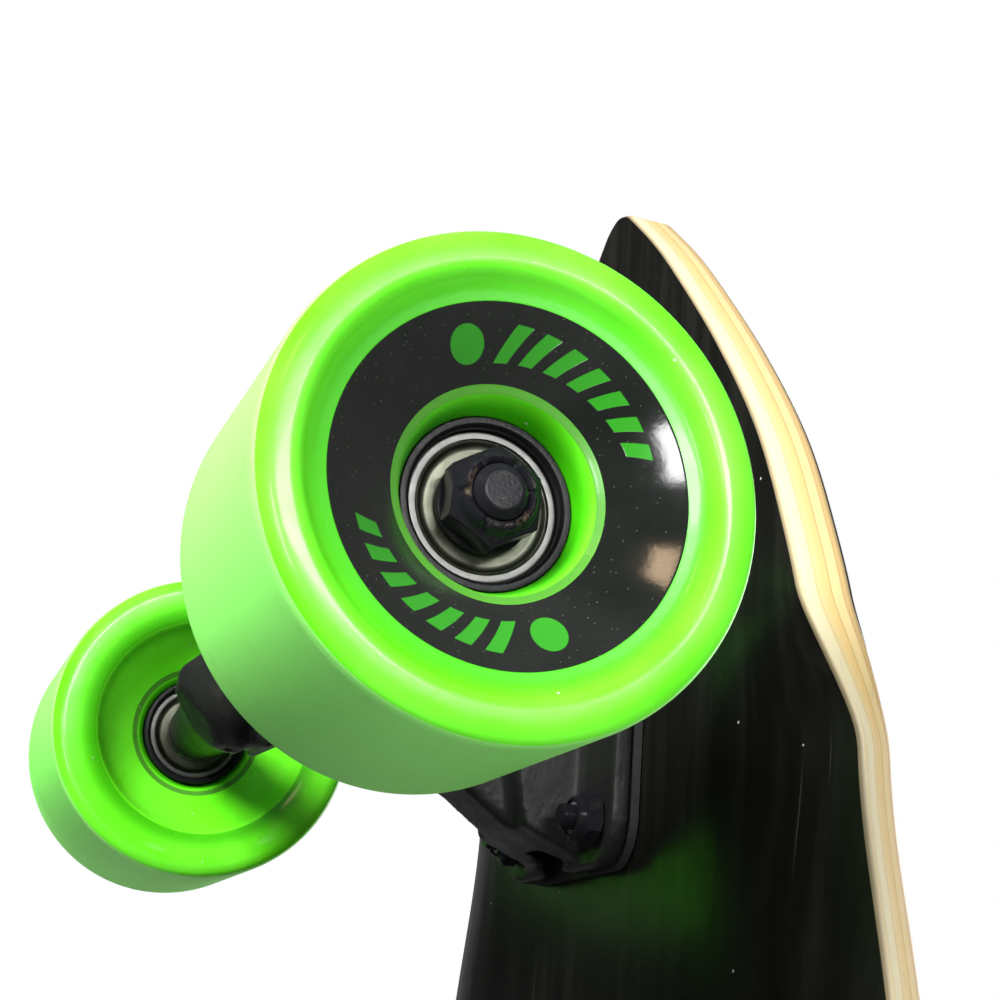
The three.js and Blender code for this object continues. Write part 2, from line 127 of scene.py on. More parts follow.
class Look:
    """A Principled material with helpers that feed its colour, roughness and bump."""

    def __init__(self, name, **inputs):
        self.material = bpy.data.materials.new(name)
        self.material.use_nodes = True
        self.tree = self.material.node_tree
        self.shader = self.tree.nodes["Principled BSDF"]
        self.normal = None
        for key, value in inputs.items():
            self.shader.inputs[key.replace("_", " ")].default_value = value

    def node(self, kind, **inputs):
        node = self.tree.nodes.new(kind)
        for key, value in inputs.items():
            slot = node.inputs[key]
            if isinstance(value, Number):
                self.tree.links.new(value.socket, slot)
            elif isinstance(value, bpy.types.NodeSocket):
                self.tree.links.new(value, slot)
            else:
                slot.default_value = value
        return node

    def place(self, stretch=(1, 1, 1)):
        """The piece's own coordinates, in metres, stretched along its axes."""
        coordinates = self.tree.nodes.new("ShaderNodeTexCoord").outputs["Object"]
        return self.node("ShaderNodeMapping", Vector=coordinates, Scale=stretch).outputs[0]

    def noise(self, scale, detail=3, stretch=(1, 1, 1), roughness=0.5):
        node = self.node("ShaderNodeTexNoise", Vector=self.place(stretch), Scale=scale,
                         Detail=detail, Roughness=roughness)
        return Number(self.tree, node.outputs["Fac"])

    def specks(self, spacing, size, share):
        """Scattered dots: one cell in so many holds one. Sizes in metres."""
        node = self.node("ShaderNodeTexVoronoi", Vector=self.place(), Scale=1 / spacing)
        colour = self.node("ShaderNodeSeparateColor", Color=node.outputs["Color"])
        chosen = Number(self.tree, colour.outputs[0]).step(share, share - 0.01)
        reach = size / spacing
        near = Number(self.tree, node.outputs["Distance"]).step(reach, 0.5 * reach)
        return near * chosen

    def axes(self):
        split = self.node("ShaderNodeSeparateXYZ", Vector=self.place())
        return [Number(self.tree, output) for output in split.outputs]

    def radius(self):
        """The distance from the piece's Y axis, in millimetres."""
        x, _, z = self.axes()
        return (x * x + z * z).apply("SQRT") * 1000

    def mix(self, amount, first, second):
        node = self.tree.nodes.new("ShaderNodeMix")
        node.data_type = "RGBA"
        self.tree.links.new(amount.socket, node.inputs[0])
        for slot, value in ((node.inputs[6], first), (node.inputs[7], second)):
            if isinstance(value, bpy.types.NodeSocket):
                self.tree.links.new(value, slot)
            else:
                slot.default_value = (*value, 1)
        return node.outputs[2]

    def bands(self, amount, stops):
        node = self.tree.nodes.new("ShaderNodeValToRGB")
        self.tree.links.new(amount.socket, node.inputs[0])
        ramp = node.color_ramp
        while len(ramp.elements) < len(stops):
            ramp.elements.new(0.5)
        for element, (position, colour) in zip(ramp.elements, stops):
            element.position = position
            element.color = (*colour, 1)
        return node.outputs[0]

    def colour(self, socket):
        self.tree.links.new(socket, self.shader.inputs["Base Color"])
        return self

    def rough(self, number):
        self.tree.links.new(number.socket, self.shader.inputs["Roughness"])
        return self

    def metal(self, number):
        self.tree.links.new(number.socket, self.shader.inputs["Metallic"])
        return self

    def bump(self, height, depth, strength=1.0):
        """Adds relief as deep as given, in metres, on top of any earlier relief."""
        node = self.node("ShaderNodeBump", Height=height, Distance=depth, Strength=strength)
        if self.normal:
            self.tree.links.new(self.normal, node.inputs["Normal"])
        self.normal = node.outputs[0]
        self.tree.links.new(self.normal, self.shader.inputs["Normal"])
        return self

    def edges(self):
        """1 on sharp outer edges, 0 elsewhere."""
        geometry = self.tree.nodes.new("ShaderNodeNewGeometry")
        return Number(self.tree, geometry.outputs["Pointiness"]).step(0.56, 0.7)


LIME = (0.115, 0.62, 0.018)
LIME_DEEP = (0.085, 0.56, 0.006)
SHADED_LIME = (0.03, 0.30, 0.002)
PALE_SHEEN_LIME = (0.20, 0.62, 0.125)
DUST = (0.30, 0.35, 0.28)


def urethane_look():
    """Glossy cast urethane, with painted shade in its recesses and a darker ring inside the print.
    """
    look = Look("urethane", Subsurface_Weight=0.15, Subsurface_Scale=0.002,
                Coat_Weight=0.2, Coat_Roughness=0.08)
    look.shader.inputs["Subsurface Radius"].default_value = (0.4, 1.0, 0.25)
    cloud = look.noise(60, 4)
    base = look.mix(cloud.step(0.35, 0.7), LIME, LIME_DEEP)
    radius = look.radius()
    # Painted shade: the recess wall inside the print and the step between print and lip are
    # darkened towards SHADED_LIME.
    painted_recess_shade = radius.step(14.4, 13.0) + radius.step(30.0, 26.0) * radius.step(25.2, 25.4) * 0.85
    base = look.mix(painted_recess_shade, base, SHADED_LIME)
    # A darker green band on the narrow ring between the core recess and the print.
    ring_inside_print = radius.step(14.1, 14.3) * radius.step(15.5, 15.3)
    base = look.mix(ring_inside_print * 0.85, base, (0.04, 0.125, 0.018))
    dust = look.specks(0.004, 0.00028, 0.3)
    look.colour(look.mix(dust, base, DUST))
    look.rough(look.noise(220, 5) * 0.22 + 0.2)
    look.bump(look.noise(900, 3), 0.00002)
    look.bump(look.noise(90, 2), 0.00006)
    return look.material


def tread_look():
    """The ground running surface: duller, with fine grinding marks round it and a little grime."""
    look = Look("urethane_tread", Subsurface_Weight=0.15, Subsurface_Scale=0.002)
    look.shader.inputs["Subsurface Radius"].default_value = (0.4, 1.0, 0.25)
    grime = look.noise(70, 6, roughness=0.65).step(0.56, 0.8) * 0.35
    # Painted sheen: the base is paler and less saturated than the face's, standing for a whitish
    # haze of light on the tread.
    base = look.mix(look.noise(35, 3), PALE_SHEEN_LIME, (0.25, 0.68, 0.15))
    look.colour(look.mix(grime, base, (0.12, 0.34, 0.07)))
    look.rough(look.noise(300, 4) * 0.2 + 0.5)
    look.bump(look.noise(140, 3, stretch=(1, 30, 1)), 0.00003)
    look.bump(look.noise(2600, 2), 0.000035)
    return look.material


def print_look():
    """Black ink on the cone, with a generic run of slanted dashes and a dot, twice round."""
    look = Look("wheel_print", Specular_IOR_Level=0.5, Coat_Weight=0.1, Coat_Roughness=0.1)
    x, _, z = look.axes()
    radius = look.radius()
    turn = (z.apply("ARCTAN2", x) + math.radians(31 + 720)).apply("MODULO", math.pi)
    from_dot = turn - math.radians(10)
    across = radius * from_dot.apply("SINE")
    outward = radius * from_dot.apply("COSINE") - 20.4
    dot = (across * across + outward * outward).apply("SQRT")
    dot_mark = dot.step(2.55, 2.45)
    run = (turn - (radius - 20.4) * 0.028 - math.radians(25)) / math.radians(11.2)
    dash = run.apply("FRACT").step(0.03, 0.05) * run.apply("FRACT").step(0.6, 0.58)
    inside = run.step(-0.01, 0.01) * run.step(7.01, 6.99)
    tall = (radius - 20.4).apply("ABSOLUTE") + run * 0.16
    dashes = dash * inside * tall.step(2.55, 2.45)
    marks = dot_mark + dashes
    scuffs = look.noise(500, 5, roughness=0.7).step(0.62, 0.82) * 0.12
    ink = look.mix(look.noise(150, 4), (0.004, 0.005, 0.004), (0.009, 0.010, 0.009))
    ink = look.mix(scuffs, ink, (0.06, 0.065, 0.06))
    ink = look.mix(look.specks(0.0007, 0.0001, 0.4), ink, (0.06, 0.09, 0.05))
    ink = look.mix(look.specks(0.0023, 0.00014, 0.2), ink, DUST)
    look.colour(look.mix(marks, ink, (0.018, 0.165, 0.010)))
    look.rough(look.noise(400, 4) * 0.08 + 0.06)
    look.bump(look.noise(1400, 3), 0.000006)
    look.bump(marks.apply("MULTIPLY", -1), 0.00002)
    return look.material


def moulded_look(name, colour, light, roughness=0.38):
    """Moulded or cast plastic with a fine grain."""
    look = Look(name, Specular_IOR_Level=0.22)
    base = look.mix(look.noise(120, 4), colour, light)
    look.colour(look.mix(look.specks(0.003, 0.0002, 0.2), base, (0.2, 0.22, 0.19)))
    look.rough(look.noise(350, 4) * 0.2 + (roughness - 0.1))
    look.bump(look.noise(1500, 3), 0.00005)
    return look.material


def steel_look(name, dark, light, roughness, turned=0.0, tarnish=(0.2, 0.18, 0.12), amount=0.25):
    """Bare or plated steel; turned sets how deep the lathe marks round its Y axis are."""
    look = Look(name, Metallic=1.0)
    stain = look.noise(260, 6, roughness=0.7).step(0.5, 0.8) * amount
    base = look.mix(look.noise(420, 4), dark, light)
    look.colour(look.mix(stain, base, tarnish))
    look.rough(look.noise(700, 4) * 0.2 + roughness)
    if turned:
        rings = (look.radius() * 34).apply("SINE") * 0.5 + look.noise(900, 2)
        look.bump(rings, turned)
    look.bump(look.noise(3000, 2), 0.000012)
    return look.material


def black_oxide_look(name, collar=False):
    """Blackened steel, rubbed through to brown metal in spots, and round a nut's collar."""
    look = Look(name, Specular_IOR_Level=0.08)
    rub = look.noise(900, 5, roughness=0.75).step(0.62, 0.76)
    if collar:
        radius = look.radius()
        ring = radius.step(4.1, 4.3) * radius.step(5.3, 4.9)
        rub = rub.apply("MAXIMUM", ring * look.noise(330, 5, roughness=0.7).step(0.56, 0.7))
    stain = look.noise(350, 5, roughness=0.65).step(0.52, 0.78) * 0.4
    base = look.mix(stain, (0.007, 0.007, 0.009), (0.03, 0.026, 0.022))
    look.colour(look.mix(rub * 0.6, base, (0.20, 0.15, 0.105)))
    look.metal(rub * 0.6)
    look.rough(look.noise(600, 4) * 0.2 + 0.1)
    look.bump(look.noise(2400, 3), 0.000012)
    return look.material


def thread_look():
    """A threaded shank: a helix of 1.25 mm pitch in relief round the Y axis."""
    look = Look("thread_steel", Metallic=1.0)
    x, y, z = look.axes()
    helix = (y * (1000 / 1.25) + z.apply("ARCTAN2", x) / math.tau).apply("FRACT")
    crest = (helix - 0.5).apply("ABSOLUTE") * 2
    # Painted shade and highlight: the colour follows the relief, dark in the thread's roots and
    # pale on its crests.
    look.colour(look.mix(crest, (0.12, 0.115, 0.1), (0.5, 0.5, 0.48)))
    look.rough(look.noise(900, 4) * 0.25 + 0.25)
    look.bump(crest, 0.0004)
    return look.material


def cast_look():
    """Cast aluminium under satin black powder coat, chipped along its edges."""
    look = Look("black_powder_coat", Specular_IOR_Level=0.3)
    chips = look.edges() * look.noise(420, 6, roughness=0.75).step(0.6, 0.68)
    grey = look.mix(look.noise(60, 5), (0.006, 0.007, 0.006), (0.013, 0.014, 0.013))
    scuffs = look.noise(300, 6, roughness=0.7).step(0.58, 0.8) * 0.3
    grey = look.mix(scuffs, grey, (0.05, 0.05, 0.045))
    look.colour(look.mix(chips, grey, (0.45, 0.45, 0.44)))
    look.metal(chips)
    look.rough(look.noise(260, 4) * 0.24 + 0.34)
    look.bump(look.noise(700, 3), 0.00012)
    look.bump(look.noise(120, 3), 0.0003)
    return look.material


def bushing_look():
    look = Look("bushing_urethane", Subsurface_Weight=0.3, Subsurface_Scale=0.003)
    look.colour(look.mix(look.noise(200, 4), (0.03, 0.42, 0.02), (0.08, 0.6, 0.04)))
    look.rough(look.noise(400, 3) * 0.2 + 0.3)
    look.bump(look.noise(1200, 3), 0.00004)
    return look.material


def lacquer_look():
    """Black gloss lacquer over the lower veneer, with faint grain, dust and hairline scratches."""
    look = Look("deck_lacquer", Coat_Weight=0.05, Coat_Roughness=0.1, Specular_IOR_Level=0.14)
    grain = look.noise(160, 5, stretch=(0.06, 1, 1), roughness=0.65)
    base = look.mix(grain.step(0.4, 0.75), (0.004, 0.004, 0.0035), (0.010, 0.010, 0.008))
    dust = look.specks(0.006, 0.00035, 0.35)
    scratch = look.noise(90, 2, stretch=(0.05, 6, 1)).step(0.735, 0.75) * 0.3
    base = look.mix(scratch, base, (0.09, 0.09, 0.08))
    look.colour(look.mix(dust, base, (0.35, 0.36, 0.33)))
    look.rough(look.noise(300, 4) * 0.12 + 0.24)
    look.bump(grain, 0.00005)
    look.bump(look.noise(45, 2), 0.00025)
    return look.material


PLY_BANDS = [
    (0.00, (0.13, 0.10, 0.06)), (0.05, (0.37, 0.31, 0.19)), (0.12, (0.44, 0.40, 0.27)),
    (0.30, (0.44, 0.39, 0.24)), (0.335, (0.37, 0.28, 0.14)), (0.36, (0.43, 0.34, 0.17)),
    (0.48, (0.43, 0.31, 0.13)), (0.565, (0.41, 0.30, 0.12)), (0.59, (0.30, 0.20, 0.08)),
    (0.615, (0.43, 0.34, 0.16)), (0.77, (0.42, 0.32, 0.16)), (0.80, (0.29, 0.19, 0.08)),
    (0.83, (0.35, 0.25, 0.11)), (0.95, (0.30, 0.21, 0.09)), (1.00, (0.18, 0.13, 0.06)),
]


def ply_look():
    """The cut edge: veneers of differing tone with glue lines between, and end-grain streaks."""
    look = Look("ply_edge", Coat_Weight=0.15, Coat_Roughness=0.25)
    attribute = look.tree.nodes.new("ShaderNodeAttribute")
    attribute.attribute_name = "layer"
    wander = (look.noise(14, 3, stretch=(1, 1, 0.1)) - 0.5) * 0.05
    height = Number(look.tree, attribute.outputs["Fac"]) + wander
    bands = look.bands(height, PLY_BANDS)
    streak = look.noise(700, 5, stretch=(0.08, 0.08, 1), roughness=0.7)
    bands = look.mix(streak.step(0.5, 0.75) * 0.3, bands, (0.36, 0.24, 0.12))
    pores = look.noise(1600, 3, stretch=(0.12, 0.12, 1)).step(0.66, 0.75) * 0.35
    look.colour(look.mix(pores, bands, (0.20, 0.12, 0.06)))
    look.rough(streak * 0.25 + 0.32)
    look.bump(streak, 0.00008)
    look.bump(pores.apply("MULTIPLY", -1), 0.00008)
    return look.material


def veneer_look():
    look = Look("top_veneer")
    grain = look.noise(120, 6, stretch=(0.05, 1, 1), roughness=0.7)
    look.colour(look.bands(grain, [(0.3, (0.62, 0.42, 0.22)), (0.7, (0.84, 0.66, 0.42))]))
    look.rough(grain * 0.3 + 0.35)
    look.bump(grain, 0.00006)
    return look.material


def grip_look():
    """Silicon-carbide grit: a coarse dark surface with scattered glints and trodden patches."""
    look = Look("grip_grit", Specular_IOR_Level=0.35)
    grit = look.noise(1700, 3, roughness=0.6)
    trodden = look.noise(7, 5, roughness=0.6).step(0.45, 0.75)
    base = look.mix(trodden, (0.010, 0.010, 0.011), (0.030, 0.029, 0.028))
    base = look.mix(grit.step(0.55, 0.75), base, (0.055, 0.055, 0.058))
    look.colour(look.mix(look.specks(0.0016, 0.0004, 0.22), base, (0.34, 0.34, 0.36)))
    look.rough(look.noise(900, 3) * 0.35 + 0.5)
    look.bump(grit, 0.0005)
    return look.material


MATERIALS = {
    "urethane": urethane_look(),
    "tread": tread_look(),
    "print": print_look(),
    "plastic": moulded_look("core_plastic", (0.003, 0.003, 0.004), (0.006, 0.006, 0.007), 0.36),
    "rubber": moulded_look("riser_rubber", (0.012, 0.012, 0.012), (0.03, 0.03, 0.03), 0.6),
    "nylon": moulded_look("nylon_insert", (0.10, 0.10, 0.11), (0.16, 0.16, 0.17), 0.4),
    "ring": steel_look("ground_steel", (0.22, 0.22, 0.215), (0.32, 0.32, 0.31), 0.42,
                       turned=0.000004, amount=0.25),
    "groove": steel_look("oiled_groove", (0.02, 0.02, 0.02), (0.05, 0.05, 0.045), 0.3),
    "shield": steel_look("pressed_shield", (0.10, 0.105, 0.08), (0.18, 0.19, 0.145), 0.3,
                         turned=0.0000015, amount=0.3),
    "zinc": steel_look("zinc_plate", (0.42, 0.43, 0.44), (0.6, 0.61, 0.62), 0.26),
    "oxide": black_oxide_look("black_oxide"),
    "nut_oxide": black_oxide_look("nut_black_oxide", collar=True),
    "thread": thread_look(),
    "cast": cast_look(),
    "bushing": bushing_look(),
    "lacquer": lacquer_look(),
    "ply": ply_look(),
    "veneer": veneer_look(),
    "grip": grip_look(),
}


# ------------------------------------------------------------------ mesh helpers


def fillet(points, closed=True, steps=4):
    """Rounds the corners of a profile. A point is (radius, height) or (radius, height, round)."""
    count = len(points)
    result = []
    for i, point in enumerate(points):
        corner = Vector(point[:2])
        rounding = point[2] if len(point) > 2 else 0
        if not rounding or (not closed and i in (0, count - 1)):
            result.append(corner)
            continue
        before = Vector(points[i - 1][:2]) - corner
        after = Vector(points[(i + 1) % count][:2]) - corner
        reach = min(rounding, 0.49 * before.length, 0.49 * after.length)
        start = corner + before.normalized() * reach
        end = corner + after.normalized() * reach
        for step in range(steps + 1):
            t = step / steps
            result.append(start * (1 - t) ** 2 + corner * 2 * t * (1 - t) + end * t ** 2)
    return result


def finish_mesh(name, verts, faces, materials, slots=None, sharp=35):
    mesh = bpy.data.meshes.new(name)
    mesh.from_pydata(verts, [], faces)
    for material in materials:
        mesh.materials.append(MATERIALS[material])
    if slots:
        mesh.polygons.foreach_set("material_index", slots)
    work = bmesh.new()
    work.from_mesh(mesh)
    bmesh.ops.remove_doubles(work, verts=work.verts, dist=1e-6)
    bmesh.ops.recalc_face_normals(work, faces=work.faces)
    work.to_mesh(mesh)
    work.free()
    mesh.polygons.foreach_set("use_smooth", [True] * len(mesh.polygons))
    mesh.set_sharp_from_angle(angle=math.radians(sharp))
    return mesh


def revolve(name, rings, closed, segments, materials, slot_of=None, sharp=35):
    """A surface round the Y axis. A ring gives (radius, height) in mm at an angle."""
    verts = []
    for ring in rings:
        for step in range(segments):
            angle = math.tau * step / segments
            radius, height = ring(angle)
            point = Vector((radius * math.cos(angle), height, radius * math.sin(angle)))
            verts.append(point * MM)
    faces = []
    slots = []
    last = len(rings) if closed else len(rings) - 1
    for i in range(last):
        near = i * segments
        far = ((i + 1) % len(rings)) * segments
        radius, height = [(a + b) / 2 for a, b in zip(rings[i](0), rings[(i + 1) % len(rings)](0))]
        for step in range(segments):
            after = (step + 1) % segments
            faces.append((near + step, near + after, far + after, far + step))
            slots.append(slot_of(radius, height) if slot_of else 0)
    return finish_mesh(name, verts, faces, materials, slots, sharp)


def lathe(name, profile, segments, materials, slot_of=None, closed=True, sharp=35):
    points = fillet(profile, closed)
    rings = [lambda _, point=point: (point[0], point[1]) for point in points]
    return revolve(name, rings, closed, segments, materials, slot_of, sharp)


def hex_rings(across, bottom, top):
    """The rings up the outside of a hexagon whose corners are chamfered at both ends."""
    flat = across / 2

    def reach(angle):
        return flat / math.cos(angle % (math.pi / 3) - math.pi / 6)

    def drop(angle):
        return (reach(angle) - 0.97 * flat) * math.tan(math.radians(30))

    return [
        lambda angle: (0.97 * flat, bottom),
        lambda angle: (reach(angle), bottom + drop(angle)),
        lambda angle: (reach(angle), top - drop(angle)),
        lambda angle: (0.97 * flat, top),
    ]


def fixed(radius, height):
    return lambda angle: (radius, height)


def put(name, mesh, matrix, body, slot, *replaced):
    """Places a mesh, hangs it on a body and hides the CAD nodes that it stands for."""
    piece = bpy.data.objects.new(name, mesh)
    bpy.context.scene.collection.objects.link(piece)
    piece.matrix_world = matrix
    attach(piece, body)
    if replaced:
        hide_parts(*replaced)
    return piece


def cut(mesh, cutters):
    """The mesh with the cutter meshes taken out of it."""
    target = bpy.data.objects.new("cut_target", mesh)
    bpy.context.scene.collection.objects.link(target)
    helpers = [target]
    for cutter in cutters:
        tool = bpy.data.objects.new("cutter", cutter)
        bpy.context.scene.collection.objects.link(tool)
        helpers.append(tool)
        modifier = target.modifiers.new("cut", "BOOLEAN")
        modifier.operation = "DIFFERENCE"
        modifier.solver = "EXACT"
        modifier.object = tool
    result = baked(target)
    for helper in helpers:
        bpy.data.objects.remove(helper)
    return result


def baked(thing):
    """The mesh of an object with its modifiers applied."""
    bpy.context.view_layer.update()
    seen = thing.evaluated_get(bpy.context.evaluated_depsgraph_get())
    return bpy.data.meshes.new_from_object(seen)


def cast_mesh(node):
    """A CAD node's shape with every edge softened, as a casting's are."""
    thing = bpy.data.objects.new("casting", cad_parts[node].data.copy())
    bpy.context.scene.collection.objects.link(thing)
    remesh = thing.modifiers.new("remesh", "REMESH")
    remesh.mode = "VOXEL"
    remesh.voxel_size = 0.9 * MM
    smooth = thing.modifiers.new("smooth", "SMOOTH")
    smooth.factor = 0.5
    smooth.iterations = 5
    mesh = baked(thing)
    bpy.data.objects.remove(thing)
    mesh.materials.clear()
    mesh.materials.append(MATERIALS["cast"])
    mesh.polygons.foreach_set("use_smooth", [True] * len(mesh.polygons))
    return mesh


# ------------------------------------------------------------------ deck and grip

deck_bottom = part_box("deck")[0].z * 1000
NOSE_PAST_AXLE = 112.6
TIP_RADIUS = 10.0
DECK_THICKNESS = 10.5
RAIL_BAND = 39.0
RAIL_ARC_RADIUS = 75.0
DECK_OUTLINE = [
    (110, 7.5), (97, 22), (83, 35.5), (62, 54), (40, 70.5), (20, 81), (2, 88), (-14, 89.2),
    (-32, 91.5), (-70, 101), (-140, 113), (-240, 120), (-446.4, 122),
]
SIDE_STATIONS = 110
TIP_STATIONS = 8


def outline_point(share):
    """A point on the spline through the outline, as (distance past the axle, half width)."""
    last = len(DECK_OUTLINE) - 1
    place = min(share, 0.999999) * last
    index = int(place)
    t = place - index
    around = [DECK_OUTLINE[min(max(index + step, 0), last)] for step in (-1, 0, 1, 2)]
    result = []
    for p0, p1, p2, p3 in zip(*around):
        slope0 = (p2 - p0) / 2
        slope1 = (p3 - p1) / 2
        cubic = 2 * p1 - 2 * p2 + slope0 + slope1
        square = -3 * p1 + 3 * p2 - 2 * slope0 - slope1
        result.append(cubic * t ** 3 + square * t ** 2 + slope0 * t + p1)
    return result


def half_stations():
    first_past, first_half = DECK_OUTLINE[0]
    full = 1 - math.sqrt(1 - (first_half / TIP_RADIUS) ** 2)
    stations = []
    for step in range(TIP_STATIONS):
        half = max(first_half * math.sin(math.pi / 2 * step / TIP_STATIONS), 0.6)
        sag = (1 - math.sqrt(1 - (half / TIP_RADIUS) ** 2)) / full
        stations.append((NOSE_PAST_AXLE - sag * (NOSE_PAST_AXLE - first_past), half))
    for step in range(SIDE_STATIONS + 1):
        stations.append(tuple(outline_point((step / SIDE_STATIONS) ** 1.15)))
    return stations


def raised(past_axle):
    """How far the rails stand up here: 0 at the nose, 1 from just inboard of the axle."""
    t = min(max((past_axle + 20) / 27, 0), 1)
    return 1 - t * t * (3 - 2 * t)


def layer_point(past_axle, half, y, height):
    """A point of the deck at a distance from its middle line and above its lower face."""
    into_rail = max(y - max(half - RAIL_BAND, 0), 0)
    lift = raised(past_axle)
    tilt = math.asin(into_rail / RAIL_ARC_RADIUS) * lift
    rise = lift * (RAIL_ARC_RADIUS - math.sqrt(RAIL_ARC_RADIUS ** 2 - into_rail ** 2))
    return y - height * math.sin(tilt), rise + height * math.cos(tilt)


SHARES = (0.0, 0.3, 0.5, 0.62, 0.72, 0.8, 0.87, 0.93, 0.97)


def layer_section(half, low, high, inset, lower_round, upper_round):
    """Half of a layer's section, (distance out, height), from its lower middle to its upper one."""
    edge = max(half - inset, 0.3)
    lower = min(lower_round, 0.3 * edge)
    upper = min(upper_round, 0.3 * edge)
    below = [(share * (edge - lower), low) for share in SHARES]
    above = [(share * (edge - upper), high) for share in reversed(SHARES)]
    side = []
    for step in range(5):
        angle = math.pi / 2 * step / 4
        out = edge - lower + lower * math.sin(angle)
        side.append((out, low + lower * (1 - math.cos(angle))))
    for step in range(1, 8):
        side.append((edge, low + lower + (high - upper - low - lower) * step / 8))
    for step in range(5):
        angle = math.pi / 2 * step / 4
        out = edge - upper + upper * math.cos(angle)
        side.append((out, high - upper + upper * math.sin(angle)))
    return below + side + above


def deck_layer(name, low, high, inset, lower_round, upper_round, materials):
    """A layer of the deck between two heights above its lower face, in the row frame."""
    axle_x = axle_middle("front").x * 1000
    stations = [(axle_x + past, past, half) for past, half in half_stations()]
    stations += [(-x, past, half) for x, past, half in reversed(stations[:-1])]
    verts = []
    layers = []
    for x, past, half in stations:
        section = layer_section(half, low, high, inset, lower_round, upper_round)
        loop = [(y, h, 1) for y, h in section] + [(y, h, -1) for y, h in reversed(section[1:-1])]
        shift = inset if past > NOSE_PAST_AXLE - 3 else 0
        for y, h, side in loop:
            out, up = layer_point(past, half, y, h)
            point = Vector((x - math.copysign(shift, x), side * out, deck_bottom + up))
            verts.append(point * MM)
            layers.append((h - low) / (high - low))
    around = len(verts) // len(stations)
    faces = []
    slots = []
    for i in range(len(stations) - 1):
        here = i * around
        there = here + around
        for j in range(around):
            k = (j + 1) % around
            faces.append((here + j, here + k, there + k, there + j))
            middle = (layers[here + j] + layers[here + k]) / 2
            slots.append(0 if middle < 1e-3 else 2 if middle > 1 - 1e-3 else 1)
    faces.append(tuple(range(around)))
    faces.append(tuple(reversed(range(len(verts) - around, len(verts)))))
    slots += [1, 1]
    mesh = bpy.data.meshes.new(name)
    mesh.from_pydata(verts, [], faces)
    for material in materials:
        mesh.materials.append(MATERIALS[material])
    mesh.polygons.foreach_set("material_index", slots)
    attribute = mesh.attributes.new("layer", "FLOAT", "POINT")
    attribute.data.foreach_set("value", layers)
    work = bmesh.new()
    work.from_mesh(mesh)
    bmesh.ops.recalc_face_normals(work, faces=work.faces)
    work.to_mesh(mesh)
    work.free()
    return mesh


def bolt_points():
    """The places of the mounting bolts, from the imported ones."""
    points = []
    for end in ENDS:
        for number in range(1, 5):
            low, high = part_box(f"{end}_bolt_{number}")
            points.append((f"{end}_bolt_{number}", (low + high) / 2, high.z))
    return points


def hole_cutters(profile):
    cutters = []
    for _, middle, _ in bolt_points():
        tool = lathe("hole", profile, 40, ["veneer"], closed=False)
        tool.transform(Matrix.Translation((middle.x, middle.y, deck_bottom * MM)) @ UPRIGHT)
        cutters.append(tool)
    return cutters


def shade(mesh, angle):
    mesh.polygons.foreach_set("use_smooth", [True] * len(mesh.polygons))
    mesh.set_sharp_from_angle(angle=math.radians(angle))
    return mesh


deck_holes = hole_cutters([(0, -5), (2.7, -5), (2.7, 7.4), (5.0, 10.0), (5.0, 20), (0, 20)])
deck_mesh = deck_layer("deck_body", 0, DECK_THICKNESS, 0, 1.0, 1.6, ["lacquer", "ply", "veneer"])
put("deck_laminate", shade(cut(deck_mesh, deck_holes), 40), STILL, "board", "deck_wood", "deck")

grip_holes = hole_cutters([(0, 0), (5.3, 0), (5.3, 20), (0, 20)])
grip_mesh = deck_layer("grip_sheet", 10.52, 11.4, 1.7, 0.1, 0.3, ["grip", "grip", "grip"])
put("grip_sheet", shade(cut(grip_mesh, grip_holes), 40), STILL, "board", "grip", "grip_tape")


# ------------------------------------------------------------------ wheels

WHEEL_Y = 104.0
INNER_BEARING_Y = 91.0
OUTER_FACE_Y = 115.0


def wheel_heights(profile):
    return [(point[0], WHEEL_Y + point[1], *point[2:]) for point in profile]


TYRE = wheel_heights([
    (17.2, -5.5, 0.3), (12.6, -6.0, 0.4), (12.6, -13.2, 0.5), (13.9, -14.4, 1.0),
    (19.6, -17.3, 4.0), (23.4, -20.6, 3.0), (24.8, -24.2, 1.2), (28.6, -25.5, 2.5),
    (33.0, -25.9, 1.2), (34.9, -25.1, 0.8), (35.4, -23.6, 1.0), (35.4, 23.6, 1.0),
    (34.9, 25.1, 0.8), (33.0, 25.9, 1.2), (29.6, 25.9, 1.3), (27.9, 23.8, 1.2),
    (25.45, 23.4, 0.3), (23.0, 22.24), (20.4, 20.91), (17.8, 19.48), (15.3, 18.0, 0.2),
    (14.2, 17.6, 0.25), (12.9, 13.6, 0.3), (12.6, 12.6, 0.3), (12.6, 6.0, 0.4), (17.2, 5.5, 0.3),
])


def tyre_slot(radius, height):
    if radius > 35.0:
        return 1
    if height > WHEEL_Y and 15.4 < radius < 25.4:
        return 2
    return 0


CORE = [
    (11.05, 98.2, 0.2), (11.05, 89.6, 0.3), (11.5, 89.2, 0.2), (12.5, 89.2, 0.3),
    (12.5, 98.3, 0.3), (17.0, 98.8, 0.3), (17.0, 109.2, 0.3), (12.5, 109.7, 0.3),
    (12.5, 116.8, 0.2), (11.5, 116.8, 0.15), (11.05, 116.3, 0.2), (11.05, 107.8, 0.2),
    (7.5, 107.7, 0.3), (7.5, 98.3, 0.3),
]

BEARING = [
    (6.1, 0.85), (6.1, 0.65, 0.1), (8.35, 0.8, 0.2), (8.9, 0.65, 0.3), (9.45, 0.12, 0.25),
    (9.6, 0.35, 0.1), (9.72, 0.35), (9.8, 0.0, 0.05), (10.7, 0.0, 0.2), (11.0, 0.3, 0.15),
    (11.0, 6.7, 0.15), (10.7, 7.0, 0.2), (9.8, 7.0, 0.05), (9.72, 6.65), (9.6, 6.65, 0.1),
    (9.45, 6.88, 0.25), (8.9, 6.35, 0.3), (8.35, 6.2, 0.2), (6.1, 6.35, 0.1), (6.1, 6.15),
]


def bearing_slot(radius, height):
    if radius > 9.78:
        return 0
    return 1 if radius > 9.58 else 2


